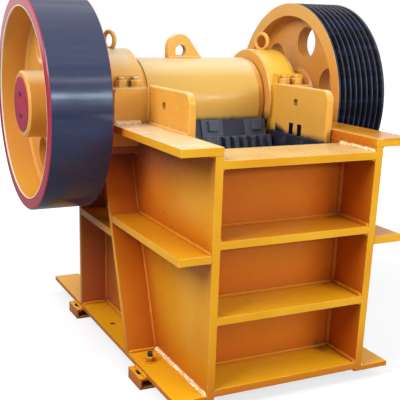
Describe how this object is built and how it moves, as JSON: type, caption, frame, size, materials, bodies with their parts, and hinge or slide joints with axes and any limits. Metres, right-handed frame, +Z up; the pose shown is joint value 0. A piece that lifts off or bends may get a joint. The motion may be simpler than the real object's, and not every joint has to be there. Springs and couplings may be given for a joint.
{
  "type": "jaw crusher",
  "caption": "Single-toggle jaw crusher with a welded plate frame, toothed jaw plates, a plain flywheel on one end of the shaft and a grooved drive pulley on the other.",
  "frame": {"origin": "on the floor, under the middle of the machine", "axes": "+X along the shaft towards the grooved pulley, +Y towards the back of the machine, +Z up"},
  "size_m": [1.662, 1.64, 1.585],
  "materials": {
    "frame_paint": "satin",
    "flywheel_paint": "gloss",
    "pulley_paint": "gloss",
    "cap_red": "satin",
    "shaft_steel": "satin",
    "bare_steel": "satin",
    "dark_steel": "matt",
    "jaw_steel": "satin",
    "eye_steel": "satin"
  },
  "bodies": {
    "frame": {"base_flange_left": "frame_paint", "base_flange_right": "frame_paint", "bearing_cap_left": "frame_paint", "bearing_cap_right": "frame_paint", "bearing_eyes": "eye_steel", "bearing_housing_left": "frame_paint", "bearing_housing_right": "frame_paint", "bearing_seat_left": "frame_paint", "bearing_seat_right": "frame_paint", "cheek_plate_left": "jaw_steel", "cheek_plate_right": "jaw_steel", "feet": "frame_paint", "fixed_jaw": "jaw_steel", "front_shelf_bottom": "frame_paint", "front_shelf_lower": "frame_paint", "front_shelf_top": "frame_paint", "front_shelf_upper": "frame_paint", "front_wall": "frame_paint", "guard_plate_left": "frame_paint", "guard_plate_right": "frame_paint", "inclined_rib_left": "frame_paint", "inclined_rib_right": "frame_paint", "mid_flange_left": "frame_paint", "mid_flange_right": "frame_paint", "pedestal_plates_left": "frame_paint", "pedestal_plates_right": "frame_paint", "rear_rib_left": "frame_paint", "rear_rib_right": "frame_paint", "rear_shelves": "frame_paint", "rear_wall": "frame_paint", "side_plate_left": "frame_paint", "side_plate_right": "frame_paint", "tension_rod": "bare_steel", "tension_spring": "bare_steel", "toggle_block": "dark_steel", "toggle_plate": "dark_steel", "top_flange_left": "frame_paint", "top_flange_right": "frame_paint"},
    "rotor": {"main_shaft": "shaft_steel", "flywheel": "flywheel_paint", "pulley": "pulley_paint", "hub_caps": "cap_red"},
    "swing_jaw": {"swing_jaw_body": "frame_paint", "barrel_rings": "frame_paint", "barrel_eye": "frame_paint", "moving_jaw": "jaw_steel", "jaw_wedge": "jaw_steel"}
  },
  "joints": [
    {"name": "shaft_spin", "type": "hinge", "parent": "frame", "child": "rotor", "pos_m": [0, 0.204, 1.112], "axis": [1, 0, 0], "continuous": true},
    {"name": "jaw_swing", "type": "hinge", "parent": "frame", "child": "swing_jaw", "pos_m": [0, 0.204, 1.112], "axis": [1, 0, 0], "range_deg": [-0.6, 0.6]}
  ]
}
